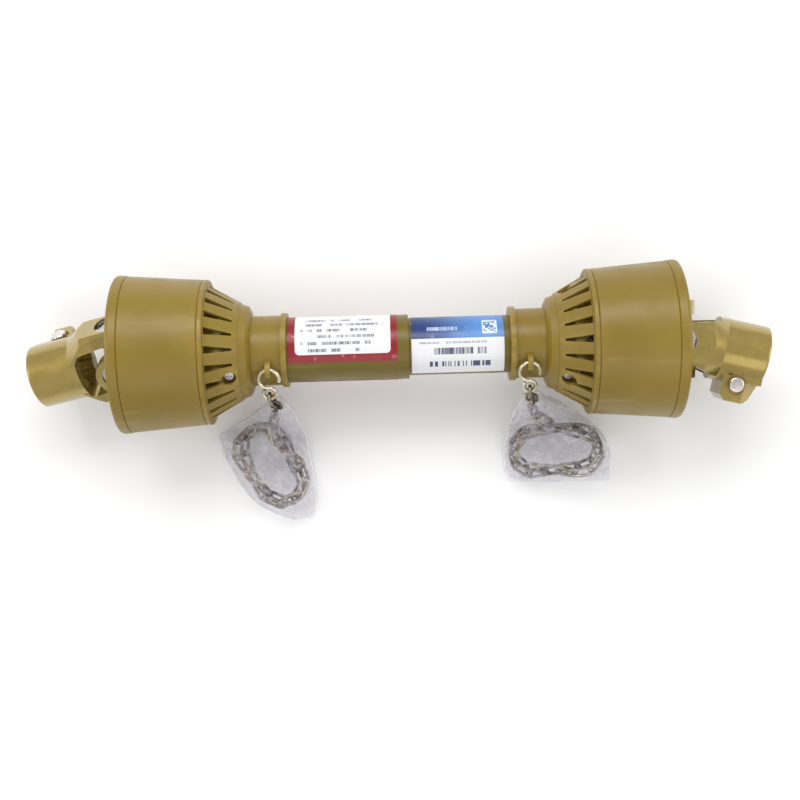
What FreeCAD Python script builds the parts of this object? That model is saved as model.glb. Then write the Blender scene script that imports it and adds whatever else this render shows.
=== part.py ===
"""Farm drive shaft with two universal joints, a telescoping three-lobed tube and a plastic guard.

The shaft lies on the ground on the rims of its two guard bells. X runs along the shaft, with the
tractor end at -X and the implement end at +X. Z is up. The origin is the middle of the base.

Each end is built by the same functions, in one of three local frames:
  yoke frame   origin at the joint centre, +X outboard along the end yoke, ears along Z
  tube frame   origin at the joint centre, +X inboard along the tube yoke, ears along Z
  guard frame  origin at the middle of the shaft, +X outboard along the shaft axis
"""

import FreeCAD
import Part

import os
from math import atan2, cos, degrees, pi, radians, sin, sqrt

import Sketcher
from FreeCAD import Placement, Rotation, Vector

DOC = FreeCAD.newDocument("DriveShaft")

SIZES = [
    # Stance: where the shaft axis lies in the row frame
    ("axis_height", 62.5),
    ("axis_back", 38.53),
    ("axis_along", 0.044),
    ("joint_reach", 218.0),
    # How the two joints are bent at rest, in degrees
    ("tractor_roll", 55.0),
    ("tractor_tilt", 15.0),
    ("tractor_swing", 0.0),
    ("implement_roll", -5.0),
    ("implement_tilt", 0.0),
    ("implement_swing", -14.0),
    # Ears shared by every yoke
    ("ear_half_width", 16.0),
    ("ear_root_half_width", 21.5),
    ("ear_taper_start", 9.0),
    ("ear_inner", 19.2),
    ("ear_outer", 30.5),
    ("throat", 31.0),
    ("throat_corner", 6.0),
    ("flare_radius", 33.0),
    ("flare_start", 22.0),
    ("flare_stop", 36.0),
    ("cap_radius", 11.0),
    ("clip_groove_radius", 11.8),
    ("clip_groove_start", 28.0),
    ("clip_thickness", 1.2),
    ("clip_gap", 6.0),
    # End yoke: splined hub and push-pin boss
    ("hub_radius", 25.0),
    ("hub_end", 71.0),
    ("hub_edge", 2.0),
    ("spline_root_radius", 17.5),
    ("spline_tip_radius", 14.9),
    ("spline_space", 8.7),
    ("boss_start", 41.0),
    ("boss_stop", 65.0),
    ("boss_reach", 38.5),
    ("boss_front", 17.0),
    ("boss_back", -17.0),
    ("pin_along", 51.5),
    ("pin_offset", 24.5),
    ("pin_radius", 8.4),
    ("pin_hole_radius", 8.5),
    ("pin_stem_radius", 3.8),
    ("button_radius", 5.9),
    ("pin_web_low", 2.0),
    ("pin_web_top", 6.0),
    ("button_under", 14.8),
    ("button_top", 20.5),
    ("button_recess", 8.2),
    # Cross and its bearings
    ("cross_body_radius", 11.2),
    ("cross_body_reach", 13.2),
    ("trunnion_radius", 7.2),
    ("trunnion_reach", 26.2),
    ("cap_mouth", 15.0),
    ("cap_floor", 26.4),
    ("cap_bore_radius", 9.7),
    ("needle_radius", 1.15),
    ("needle_count", 18),
    ("centre_radius", 1.6),
    ("centre_depth", 0.7),
    # Tube yoke and drive tubes
    ("socket_radius", 25.0),
    ("socket_end", 96.0),
    ("socket_floor", 52.0),
    ("groove_start", 84.0),
    ("groove_stop", 91.0),
    ("groove_radius", 22.6),
    ("roll_pin_along", 68.0),
    ("roll_pin_radius", 5.0),
    ("lobe_centre", 9.6),
    ("lobe_radius", 9.7),
    ("tube_wall", 3.0),
    ("lobe_clearance", 0.3),
    ("outer_tube_tip", 41.0),
    ("inner_tube_tip", -65.0),
    # Guard
    ("rim_reach", 219.2),
    ("rim_radius", 62.5),
    ("bell_start", 151.7),
    ("bell_radius", 57.2),
    ("bell_wall", 2.5),
    ("cone_start", 123.0),
    ("cone_stop", 147.5),
    ("cone_small_radius", 38.4),
    ("cone_large_radius", 52.2),
    ("cone_wall", 2.6),
    ("ring_radius", 57.2),
    ("ring_stop", 151.5),
    ("slot_count", 22),
    ("slot_half_wide", 2.9),
    ("slot_half_narrow", 0.9),
    ("collar_start", 87.0),
    ("collar_radius", 27.4),
    ("collar_lip_radius", 29.2),
    ("collar_stop", 114.0),
    ("sleeve_radius", 33.4),
    ("sleeve_wall", 2.0),
    ("sleeve_stop", 136.0),
    ("screw_along", 130.5),
    ("tractor_screw_angle", 32.0),
    ("implement_screw_angle", 46.0),
    ("wide_guard_tube_radius", 25.4),
    ("wide_guard_tube_tip", 8.0),
    ("slim_guard_tube_radius", 22.6),
    ("slim_guard_tube_tip", -33.0),
    ("guard_tube_wall", 2.0),
    ("guard_tube_seat", 112.0),
    ("label_gap", 0.05),
    ("label_thickness", 0.2),
    # Chains, their hooks and bags
    ("eye_along", 101.0),
    ("eye_angle", 30.0),
    ("eye_reach", 32.0),
    ("eye_hole_radius", 3.0),
    ("hook_wire_radius", 1.4),
    ("hook_ring_radius", 8.0),
    ("hook_loop_radius", 4.6),
    ("link_wire_radius", 1.3),
    ("link_half_width", 4.0),
    ("link_straight", 9.2),
    ("link_pitch", 13.4),
    ("link_lean", 45.0),
    ("film", 0.7),
    ("coil_layer", 10.5),
]
RUNNING_GAP = 0.2
PRESS_GAP = 0.02
FAR = 80.0
BEYOND = f"{FAR}"
THROUGH = (f"- {FAR}", f"{FAR}")
SCREW_SPOT = ("screw_along", "0")


# ---------------------------------------------------------------- spreadsheet and expressions

SHEET = DOC.addObject("Spreadsheet::Sheet", "Sizes")
for row, (alias, value) in enumerate(SIZES, start=1):
    SHEET.set(f"A{row}", alias)
    SHEET.set(f"B{row}", str(value))
    SHEET.setAlias(f"B{row}", alias)
DOC.recompute()
ALIASES = [alias for alias, value in SIZES]


def size(alias):
    """Number in a cell of the sheet."""
    return float(SHEET.get(alias))


def expression(text):
    """Writes Sizes. before each alias in an expression such as 'hub_end - 2'."""
    words = []
    for word in str(text).replace("(", "( ").replace(")", " )").split():
        words.append(f"Sizes.{word}" if word in ALIASES else word)
    return " ".join(words)


def number(text):
    """Value of an expression written with the sheet's aliases."""
    found = SHEET.evalExpression(expression(text))
    return float(getattr(found, "Value", found))


def bind(thing, **bound):
    """Binds properties of an object to expressions, with __ standing for a dot."""
    for name, text in bound.items():
        thing.setExpression(name.replace("__", "."), expression(text))
    return thing


# ---------------------------------------------------------------- solids bound to the sheet

ALONG = {"X": Vector(1, 0, 0), "Y": Vector(0, 1, 0), "Z": Vector(0, 0, 1)}


def block(name, x, y, z):
    """Box between pairs of expressions."""
    made = DOC.addObject("Part::Box", name)
    bind(made, Length=f"{x[1]} - ( {x[0]} )", Width=f"{y[1]} - ( {y[0]} )", Height=f"{z[1]} - ( {z[0]} )")
    bind(made, Placement__Base__x=x[0], Placement__Base__y=y[0], Placement__Base__z=z[0])
    return made


def point_along(made, axis, start, across):
    """Turns a primitive so that its height runs along an axis, and starts it there."""
    made.Placement = Placement(Vector(), Rotation(ALONG["Z"], ALONG[axis]))
    places = dict(zip([a for a in "XYZ" if a != axis], across))
    places[axis] = start
    bind(made, Placement__Base__x=places["X"], Placement__Base__y=places["Y"])
    bind(made, Placement__Base__z=places["Z"])
    return made


def rod(name, axis, radius, start, stop, across=("0", "0")):
    """Cylinder along an axis, from start to stop, passing through the point across."""
    made = DOC.addObject("Part::Cylinder", name)
    bind(made, Radius=radius, Height=f"{stop} - ( {start} )")
    return point_along(made, axis, start, across)


def taper(name, axis, first_radius, last_radius, start, stop, across=("0", "0")):
    """Cone along an axis."""
    made = DOC.addObject("Part::Cone", name)
    bind(made, Radius1=first_radius, Radius2=last_radius, Height=f"{stop} - ( {start} )")
    return point_along(made, axis, start, across)


def joined(name, *shapes):
    made = DOC.addObject("Part::MultiFuse", name)
    made.Shapes = list(shapes)
    return made


def shared(name, *shapes):
    made = DOC.addObject("Part::MultiCommon", name)
    made.Shapes = list(shapes)
    return made


def cut(name, base, *tools):
    made = DOC.addObject("Part::Cut", name)
    made.Base = base
    made.Tool = tools[0] if len(tools) == 1 else joined(name + "_tools", *tools)
    return made


def rounded(name, base, radius, pick):
    """Rounds the edges of base that pick chooses."""
    DOC.recompute()
    made = DOC.addObject("Part::Fillet", name)
    made.Base = base
    edges = enumerate(base.Shape.Edges, start=1)
    made.Edges = [(n, number(radius), number(radius)) for n, edge in edges if pick(edge)]
    return made


def edge_at(axis, text):
    """Test for edges whose middle lies at a place along an axis."""
    place = number(text)
    return lambda edge: abs(getattr(edge.CenterOfMass, axis) - place) < 1e-6


def turned(name, copy_of, axis, angle):
    """Another copy of a shape, turned about a row axis through the origin."""
    made = DOC.addObject("Part::Compound", name)
    made.Links = [copy_of]
    made.Placement = Placement(Vector(), Rotation(ALONG[axis], angle))
    return made


def feature(name, shape):
    """Shape made with Part's own functions, for pieces that no primitive or sketch gives."""
    made = DOC.addObject("Part::Feature", name)
    made.Shape = Part.makeCompound([shape])
    return made


def closed_sketch(body, name, corners):
    """Sketch of a closed outline on the body's XY plane. Each corner is bound to two expressions."""
    sketch = body.newObject("Sketcher::SketchObject", name)
    plane = next(o for o in body.Origin.OriginFeatures if o.Role == "XY_Plane")
    sketch.AttachmentSupport = [(plane, "")]
    sketch.MapMode = "FlatFace"
    places = [Vector(number(x), number(y), 0) for x, y in corners]
    for n, place in enumerate(places):
        sketch.addGeometry(Part.LineSegment(place, places[(n + 1) % len(places)]), False)
    for n in range(len(places)):
        sketch.addConstraint(Sketcher.Constraint("Coincident", n, 2, (n + 1) % len(places), 1))
    for n, (x, y) in enumerate(corners):
        for kind, text, value in (("DistanceX", x, places[n].x), ("DistanceY", y, places[n].y)):
            held = sketch.addConstraint(Sketcher.Constraint(kind, -1, 1, n, 1, value))
            sketch.renameConstraint(held, f"{kind}{n}")
            sketch.setExpression(f"Constraints.{kind}{n}", expression(text))
    return sketch


def padded(name, corners, low, top):
    """Body made by padding an outline, given as X and Y, between two heights."""
    body = DOC.addObject("PartDesign::Body", name)
    sketch = closed_sketch(body, name + "_outline", corners)
    pad = body.newObject("PartDesign::Pad", name + "_pad")
    pad.Profile = sketch
    bind(pad, Length=f"{top} - ( {low} )")
    sketch.AttachmentOffset = Placement(Vector(0, 0, number(low)), Rotation())
    sketch.Visibility = False
    DOC.recompute()
    return body


def revolved(name, corners):
    """Body made by turning an outline, given as distance along X and radius, about X."""
    body = DOC.addObject("PartDesign::Body", name)
    sketch = closed_sketch(body, name + "_outline", corners)
    turn = body.newObject("PartDesign::Revolution", name + "_turn")
    turn.Profile = sketch
    turn.ReferenceAxis = (sketch, ["H_Axis"])
    turn.Angle = 360
    sketch.Visibility = False
    DOC.recompute()
    return body


# ---------------------------------------------------------------- frames


def frame(origin, x_direction, z_direction):
    """Placement whose local X and Z point along two directions at right angles."""
    return Placement(origin, Rotation(x_direction, z_direction.cross(x_direction), z_direction, "XZY"))


def on_axis(along):
    """Point on the shaft axis, in the row frame."""
    return Vector(size("axis_along") + along, size("axis_back"), size("axis_height"))


class End:
    """Frames of one end of the shaft: side is -1 at the tractor and 1 at the implement."""

    def __init__(self, name, side):
        self.name = name
        self.side = side
        self.centre = on_axis(side * size("joint_reach"))
        out = Vector(side, 0, 0)
        roll = radians(size(f"{name}_roll"))
        ears = Vector(0, sin(roll), cos(roll))
        straight = frame(self.centre, out, ears)
        self.tube_yoke_axis = straight.Rotation.multVec(ALONG["Y"])
        self.end_yoke_axis = ears
        tilt = Placement(self.centre, Rotation(self.tube_yoke_axis, size(f"{name}_tilt")), Vector())
        swing = Placement(self.centre, Rotation(self.end_yoke_axis, size(f"{name}_swing")), Vector())
        back = Placement(-self.centre, Rotation())
        self.cross = tilt.multiply(back).multiply(straight)
        self.yoke = tilt.multiply(back).multiply(swing).multiply(back).multiply(straight)
        self.tube = frame(self.centre, -out, self.tube_yoke_axis)
        self.guard = frame(on_axis(0), out, ALONG["Z"])

    def label(self, words):
        return f"{self.name}_{words}"


NODES = []


def node(made, label, placement):
    """Names a finished sub-part and puts it in its place."""
    DOC.recompute()
    made.Label = label
    made.Placement = placement
    NODES.append(made)
    return made


# ---------------------------------------------------------------- yokes


def ears(name):
    """Pair of ears with their throat and bearing bores still to be cut."""
    half_outline = [
        ("0", "ear_half_width"),
        ("ear_taper_start", "ear_half_width"),
        ("throat", "ear_root_half_width"),
        ("flare_stop", "ear_root_half_width"),
    ]
    other_half = [(x, f"- {y}") for x, y in reversed(half_outline)]
    slab = padded(name + "_slab", half_outline + other_half, "- ear_outer", "ear_outer")
    ends = rod(name + "_ends", "Z", "ear_half_width", "- ear_outer", "ear_outer")
    barrel = rod(name + "_barrel", "X", "flare_radius", "- ear_half_width - 1", "flare_start")
    flare = taper(name + "_flare", "X", "flare_radius", "socket_radius", "flare_start", "flare_stop")
    return shared(name, joined(name + "_blank", slab, ends), joined(name + "_round", barrel, flare))


def ear_cuts(name):
    """Throat between the ears, the bearing bores and their circlip grooves."""
    long = ("- ear_half_width - 1", "throat")
    throat = block(name + "_gap", long, THROUGH, ("- ear_inner", "ear_inner"))
    deep = number("throat")
    corner = lambda edge: edge.Length > FAR and abs(edge.CenterOfMass.x - deep) < 1e-6
    gap = rounded(name + "_throat", throat, "throat_corner", corner)
    bore = rod(name + "_bore", "Z", "cap_radius", f"- {FAR}", f"{FAR}")
    grooves = []
    for side, low, high in (("top", 1, 0), ("low", -1, -1)):
        start = f"{low} * clip_groove_start + {high} * ( clip_thickness + 0.1 )"
        stop = f"{start} + clip_thickness + 0.1"
        grooves.append(rod(f"{name}_{side}_groove", "Z", "clip_groove_radius", start, stop))
    return [gap, bore, *grooves]


def spline_bore(name):
    """Six straight-sided grooves round the hub's tooth tips."""
    tips = rod(name + "_tips", "X", "spline_tip_radius", "0", f"{FAR}")
    roots = rod(name + "_roots", "X", "spline_root_radius", "0", f"{FAR}")
    slab = block(name + "_slab", ("0", BEYOND), THROUGH, ("- spline_space / 2", "spline_space / 2"))
    slabs = [turned(f"{name}_spaces_{angle}", slab, "X", angle) for angle in (0, 60, 120)]
    spaces = shared(name + "_spaces", roots, joined(name + "_slabs", *slabs))
    radii = ("spline_tip_radius", "spline_root_radius + 1.2")
    mouth = taper(name + "_mouth", "X", *radii, "hub_end - 3.8", "hub_end")
    return [tips, spaces, mouth]


def end_yoke(end):
    """Forged yoke with a splined hub and the boss that holds its push pin."""
    name = end.label("end_yoke")
    hub = rod(name + "_hub", "X", "hub_radius", "throat", "hub_end")
    hub_shape = rounded(name + "_hub_edge", hub, "hub_edge", edge_at("x", "hub_end"))
    across = ("pin_along", "- pin_offset")
    lower = rod(name + "_pin_way", "Z", "pin_hole_radius", f"- {FAR}", "pin_web_low", across)
    stem = rod(name + "_stem_way", "Z", "pin_stem_radius + 0.2", "0", f"{FAR}", across)
    upper = rod(name + "_button_way", "Z", "button_radius + 0.1", "pin_web_top", f"{FAR}", across)
    recess = rod(name + "_recess", "Z", "button_recess", "boss_front - 1.8", f"{FAR}", across)
    blank = joined(name + "_blank", ears(name + "_ears"), hub_shape, pin_boss(name + "_boss"))
    tools = [*ear_cuts(name + "_ear"), *spline_bore(name + "_spline"), lower, stem, upper, recess]
    return node(cut(name, blank, *tools), name, end.yoke)


def pin_boss(name):
    """Block beside the hub, sloped off towards the hub's open end."""
    corners = [
        ("boss_start", "0"),
        ("boss_start", "- boss_reach + 4"),
        ("boss_start + 4", "- boss_reach"),
        ("boss_stop - 5", "- boss_reach"),
        ("boss_stop", "- boss_reach + 4"),
        ("boss_stop + 6", "- hub_radius + 3"),
        ("boss_stop + 6", "0"),
    ]
    body = padded(name, corners, "boss_back", "boss_front")
    slope = DOC.addObject("Part::Box", name + "_slope")
    bind(slope, Length=f"{FAR}", Width=f"{FAR}", Height=f"{FAR}")
    corner = Vector(size("pin_along") + 6.5, -FAR - size("hub_radius") + 3, size("boss_front"))
    slope.Placement = Placement(corner, Rotation(ALONG["Y"], 42))
    sloped = cut(name + "_sloped", body, slope)
    low = number("boss_back")
    far = -number("boss_reach")
    outer = lambda e: abs(e.CenterOfMass.y - far) < 1e-6 and abs(e.CenterOfMass.z - low) < 1e-6
    return rounded(name + "_rounded", sloped, "5", outer)


def lobes(name, end, radius, start, stop):
    """Prism with the three-lobed section of the drive tubes, one lobe up or down."""
    triangle = DOC.addObject("Part::RegularPolygon", name + "_triangle")
    triangle.Polygon = 3
    bind(triangle, Circumradius="lobe_centre")
    outline = DOC.addObject("Part::Offset2D", name + "_outline")
    outline.Source = triangle
    outline.Join = 0
    outline.Fill = False
    bind(outline, Value=radius)
    DOC.recompute()
    prism = DOC.addObject("Part::Extrusion", name)
    prism.Base = outline
    prism.DirMode = "Custom"
    prism.Dir = ALONG["Z"]
    prism.Solid = True
    bind(prism, LengthFwd=f"{stop} - ( {start} )")
    upright = Rotation(ALONG["X"], -degrees(atan2(end.tube_yoke_axis.y, end.tube_yoke_axis.z)) * end.side)
    lengthwise = Rotation(ALONG["Z"], ALONG["X"])
    prism.Placement = Placement(Vector(number(start), 0, 0), upright.multiply(lengthwise))
    return prism


def tube_yoke(end, lobe_radius):
    """Yoke that holds a drive tube in its socket, with the groove of the guard's bearing."""
    name = end.label("tube_yoke")
    barrel = rod(name + "_barrel", "X", "socket_radius", "throat", "socket_end")
    barrel_shape = rounded(name + "_edge", barrel, "hub_edge", edge_at("x", "socket_end"))
    blank = joined(name + "_blank", ears(name + "_ears"), barrel_shape)
    socket = lobes(name + "_socket", end, lobe_radius, "socket_floor", "socket_end + 1")
    pin = rod(name + "_pin_hole", "Y", "roll_pin_radius", f"- {FAR}", f"{FAR}", ("roll_pin_along", "0"))
    outside = rod(name + "_outside", "X", "socket_radius + 1", "groove_start", "groove_stop")
    inside = rod(name + "_inside", "X", "groove_radius", "groove_start", "groove_stop")
    groove = cut(name + "_groove", outside, inside)
    return node(cut(name, blank, *ear_cuts(name + "_ear"), socket, pin, groove), name, end.tube)


# ---------------------------------------------------------------- cross and bearings


def cross(end):
    """Four-armed cross with a lathe centre in each arm and the nipple's hole between two arms."""
    name = end.label("cross")
    arms = []
    holes = []
    for axis in "YZ":
        for part in ("cross_body", "trunnion"):
            arms.append(rod(f"{name}_{axis}_{part}", axis, f"{part}_radius", f"- {part}_reach", f"{part}_reach"))
        for side in (1, -1):
            ends = span(side, "trunnion_reach - centre_depth", BEYOND)
            holes.append(rod(f"{name}_{axis}_centre_{side + 1}", axis, "centre_radius", *ends))
    drilled = rod(name + "_nipple_drill", "Z", "2", "12", BEYOND)
    holes.append(turned(name + "_nipple_hole", drilled, "X", 45))
    return node(cut(name, joined(name + "_arms", *arms), *holes), name, end.cross)


def grease_nipple(end):
    """Angled nipple screwed into the cross between two arms."""
    name = end.label("grease_nipple")
    neck = rod(name + "_neck", "Z", "1.9", "12", "22")
    collar = rod(name + "_collar", "Z", "2.6", "18.6", "20.4")
    ball = DOC.addObject("Part::Sphere", name + "_ball")
    bind(ball, Radius="2.2", Placement__Base__z="22")
    made = joined(name, collar, neck, ball)
    between = Rotation(ALONG["X"], 45)
    return node(made, name, end.cross.multiply(Placement(Vector(), between)))


def capped_pairs(name, maker):
    """One shape at each end of an arm along Z, as separate solids in one object."""
    made = DOC.addObject("Part::Compound", name)
    made.Links = [maker(f"{name}_high", 1), maker(f"{name}_low", -1)]
    return made


def span(side, near, far):
    """Start and stop expressions of a stretch of an arm, on the side that is 1 or -1."""
    return (near, far) if side > 0 else (f"- ( {far} )", f"- ( {near} )")


def cap(name, side):
    """Hardened bearing cup."""
    reach = span(side, "cap_mouth", "clip_groove_start - 0.05")
    outside = rod(name + "_outside", "Z", f"cap_radius - {PRESS_GAP}", *reach)
    inside = rod(name + "_inside", "Z", "cap_bore_radius", *span(side, "cap_mouth - 1", "cap_floor"))
    return cut(name, outside, inside)


def circlip(name, side):
    """Internal snap ring, open at one side."""
    reach = span(side, "clip_groove_start + 0.05", "clip_groove_start + clip_thickness + 0.05")
    outside = rod(name + "_outside", "Z", "clip_groove_radius - 0.1", *reach)
    inside = rod(name + "_inside", "Z", "cap_radius - 2.3", *span(side, "0", BEYOND))
    wide = ("- clip_gap / 2", "clip_gap / 2")
    gap = block(name + "_gap", ("0", BEYOND), wide, span(side, "0", BEYOND))
    return cut(name, outside, inside, gap)


def seal(name, axis, side):
    """Rubber lip ring at the mouth of a cup."""
    reach = span(side, "cross_body_reach + 0.1", "cap_mouth - 0.1")
    outside = rod(name + "_outside", axis, "cap_radius - 0.4", *reach)
    inside = rod(name + "_inside", axis, "trunnion_radius + 0.05", *span(side, "0", BEYOND))
    return cut(name, outside, inside)


def needles(end):
    """Loose needles round each arm, between the arm and its cup."""
    name = end.label("needle_rollers")
    reach = size("trunnion_radius") + size("needle_radius") + 0.1
    start = size("cap_mouth") + 0.6
    long = size("cap_floor") - start - 0.4
    count = int(size("needle_count"))
    solids = []
    for arm in (ALONG["Y"], ALONG["Z"]):
        for side in (1, -1):
            for n in range(count):
                spot = Rotation(arm, 360 * n / count).multVec(ALONG["X"]) * reach + arm * side * start
                solids.append(Part.makeCylinder(size("needle_radius"), long, spot, arm * side))
    return node(feature(name, Part.makeCompound(solids)), name, end.cross)


def bearings(end):
    """Cups and circlips of both yokes, and the seals on the cross."""
    for yoke, placement in (("end_yoke", end.yoke), ("tube_yoke", end.tube)):
        for words, maker in (("bearing_caps", cap), ("circlips", circlip)):
            name = end.label(f"{yoke}_{words}")
            node(capped_pairs(name, maker), name, placement)
    name = end.label("trunnion_seals")
    made = DOC.addObject("Part::Compound", name)
    made.Links = [seal(f"{name}_{axis}{side + 1}", axis, side) for axis in "YZ" for side in (1, -1)]
    node(made, name, end.cross)


# ---------------------------------------------------------------- push pin


def push_pin(end):
    """Spring-loaded locking pin: button, stem through the boss's web, and locking body."""
    name = end.label("push_pin")
    across = ("pin_along", "- pin_offset")
    lock = rod(name + "_lock", "Z", "pin_radius", "boss_back - 2", f"pin_web_low - {RUNNING_GAP}", across)
    stem = rod(name + "_stem", "Z", "pin_stem_radius", "0", "button_top - 1", across)
    button = rod(name + "_button", "Z", "button_radius", "button_under", "button_top", across)
    made = joined(name + "_body", lock, stem, button)
    top = number("button_top")
    edge = rounded(name, made, "1.2", lambda e: abs(e.CenterOfMass.z - top) < 1e-6)
    return node(edge, name, end.yoke)


def pin_spring(end):
    """Coil spring between the web and the button."""
    name = end.label("pin_spring")
    wire = 0.45
    turns = 4
    start = size("pin_web_top") + wire + 0.1
    high = size("button_under") - wire - 0.1 - start
    radius = (size("pin_stem_radius") + size("button_radius")) / 2
    rise = high / (2 * turns)
    arcs = []
    for n in range(2 * turns):
        side = 1 if n % 2 == 0 else -1
        middle = Vector(0, side * sqrt(radius**2 + rise**2 / 4), (n + 0.5) * rise)
        first = Vector(side * radius, 0, n * rise)
        arcs.append(Part.Arc(first, middle, Vector(-first.x, 0, first.z + rise)).toShape())
    coil = tube_along(Part.Wire(arcs), wire)
    coil.translate(Vector(size("pin_along"), -size("pin_offset"), start))
    return node(feature(name, coil), name, end.yoke)


# ---------------------------------------------------------------- drive tubes


def drive_tube(name, end, lobe_radius, tip):
    """Three-lobed tube, pinned in its yoke's socket."""
    start = "socket_floor + 2"
    stop = f"joint_reach - ( {end.side} * {tip} )"
    outside = lobes(name + "_outside", end, lobe_radius, start, stop)
    inside = lobes(name + "_inside", end, f"{lobe_radius} - tube_wall", "socket_floor", f"{stop} + 1")
    pin = rod(name + "_pin_hole", "Y", "roll_pin_radius", f"- {FAR}", f"{FAR}", ("roll_pin_along", "0"))
    return node(cut(name, outside, inside, pin), name, end.tube)


def roll_pin(end):
    """Slotted spring pin through yoke and tube."""
    name = end.label("roll_pin")
    reach = ("- socket_radius + 0.6", "socket_radius - 0.6")
    across = ("roll_pin_along", "0")
    outside = rod(name + "_outside", "Y", f"roll_pin_radius - {PRESS_GAP}", *reach, across)
    inside = rod(name + "_inside", "Y", "roll_pin_radius - 1.6", f"- {FAR}", f"{FAR}", across)
    wide = ("roll_pin_along - 0.6", "roll_pin_along + 0.6")
    slot = block(name + "_slot", wide, THROUGH, ("0", BEYOND))
    return node(cut(name, outside, inside, slot), name, end.tube)


# ---------------------------------------------------------------- guard


def bell(end):
    """Wide shield over the joint, snapped on to the base cone."""
    name = end.label("guard_bell")
    outline = [
        ("bell_start", "bell_radius - 6.6"),
        ("bell_start", "bell_radius - 0.6"),
        ("bell_start + 0.8", "bell_radius"),
        ("rim_reach - 9", "rim_radius - 0.9"),
        ("rim_reach - 8.4", "rim_radius - 1.5"),
        ("rim_reach - 7.8", "rim_radius - 0.6"),
        ("rim_reach - 2.4", "rim_radius"),
        ("rim_reach - 0.7", "rim_radius - 0.5"),
        ("rim_reach", "rim_radius - 1.6"),
        ("rim_reach", "rim_radius - bell_wall"),
        ("bell_start + 2.4", "bell_radius - bell_wall"),
        ("bell_start + 2.4", "bell_radius - 6.6"),
    ]
    return node(revolved(name, outline), name, end.guard)


def base_cone(end, tube_radius, screw_angle):
    """Slotted cone with its collar, bearing sleeve, chain eye and three screw holes."""
    name = end.label("guard_cone")
    bore = f"{tube_radius} + {RUNNING_GAP / 4}"
    slope = "( cone_large_radius - cone_small_radius ) / ( cone_stop - cone_start )"
    outline = [
        ("collar_start", bore),
        ("collar_start", "collar_lip_radius"),
        ("collar_start + 4.4", "collar_lip_radius"),
        ("collar_start + 4.4", "collar_radius"),
        ("collar_stop", "collar_radius"),
        ("collar_stop + 1.2", "sleeve_radius - 1.6"),
        ("collar_stop + 3.2", "cone_small_radius - 3"),
        ("cone_start", "cone_small_radius - 1"),
        ("cone_start", "cone_small_radius"),
        ("cone_stop", "cone_large_radius"),
        ("cone_stop", "ring_radius - 0.8"),
        ("cone_stop + 0.8", "ring_radius"),
        ("ring_stop - 0.6", "ring_radius"),
        ("ring_stop", "ring_radius - 0.6"),
        ("ring_stop", "bell_radius - 6.9"),
        ("bell_start + 2.6", "bell_radius - 6.9"),
        ("bell_start + 3.4", "bell_radius - 6.2"),
        ("bell_start + 5.2", "bell_radius - 7.6"),
        ("bell_start + 5.2", "bell_radius - 9.2"),
        ("cone_stop", "cone_large_radius - cone_wall - 0.6"),
        ("cone_start + 1.4", f"cone_small_radius - cone_wall - 0.6 + 1.4 * {slope}"),
        ("cone_start + 1.4", "sleeve_radius + sleeve_wall"),
        ("sleeve_stop", "sleeve_radius + sleeve_wall"),
        ("sleeve_stop", "sleeve_radius"),
        ("collar_stop + 4.4", "sleeve_radius"),
        ("collar_stop + 2.2", "sleeve_radius - 3"),
        ("collar_stop", f"{tube_radius} - 1.4"),
        ("guard_tube_seat", f"{tube_radius} - 1.4"),
        ("guard_tube_seat", bore),
    ]
    body = revolved(name + "_turned", outline)
    slots = cone_slots(body, name)
    holes = []
    for n in range(3):
        hole = rod(f"{name}_hole_{n}", "Z", "5.4", "sleeve_radius + sleeve_wall", BEYOND, SCREW_SPOT)
        pilot = rod(f"{name}_pilot_{n}", "Z", "1.7", "0", "sleeve_radius + sleeve_wall + 1", SCREW_SPOT)
        pair = joined(f"{name}_screw_hole_{n}", hole, pilot)
        holes.append(turned(f"{name}_screw_way_{n}", pair, "X", end.side * screw_angle + 120 * n))
    thick = ("eye_along - 2", "eye_along + 2")
    lug = block(name + "_eye_slab", thick, ("- 6", "6"), ("collar_radius - 1.5", "eye_reach"))
    spot = ("0", "eye_reach")
    nose = rod(name + "_eye_nose", "X", "6", *thick, spot)
    way = rod(name + "_eye_hole", "X", "eye_hole_radius", "eye_along - 3", "eye_along + 3", spot)
    flat = cut(name + "_eye_flat", joined(name + "_eye_blank", lug, nose), way)
    eye = turned(name + "_eye", flat, "X", end.side * size("eye_angle"))
    made = cut(name, joined(name + "_with_eye", slots, eye), *holes)
    return node(made, name, end.guard)


def cone_slots(body, name):
    """Cuts wedge-shaped slots round the cone, wider towards the bell."""
    sketch = closed_sketch(
        body,
        name + "_slot",
        [
            ("cone_start + 4", "- slot_half_narrow"),
            ("cone_stop - 0.4", "- slot_half_wide"),
            ("cone_stop - 0.4", "slot_half_wide"),
            ("cone_start + 4", "slot_half_narrow"),
        ],
    )
    floor = size("sleeve_radius") + size("sleeve_wall") + 0.3
    sketch.AttachmentOffset = Placement(Vector(0, 0, floor), Rotation())
    before = body.Shape.Volume
    pocket = body.newObject("PartDesign::Pocket", name + "_slot_cut")
    pocket.Profile = sketch
    pocket.Length = FAR
    pocket.Reversed = True
    DOC.recompute()
    pattern = body.newObject("PartDesign::PolarPattern", name + "_slots")
    pattern.Originals = [pocket]
    pattern.Axis = (next(o for o in body.Origin.OriginFeatures if o.Role == "X_Axis"), [""])
    pattern.Angle = 360
    bind(pattern, Occurrences="slot_count")
    body.Tip = pattern
    DOC.recompute()
    print(f"{name}: slots take {before - body.Shape.Volume:.0f} mm3 from {before:.0f} mm3")
    return body


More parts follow.
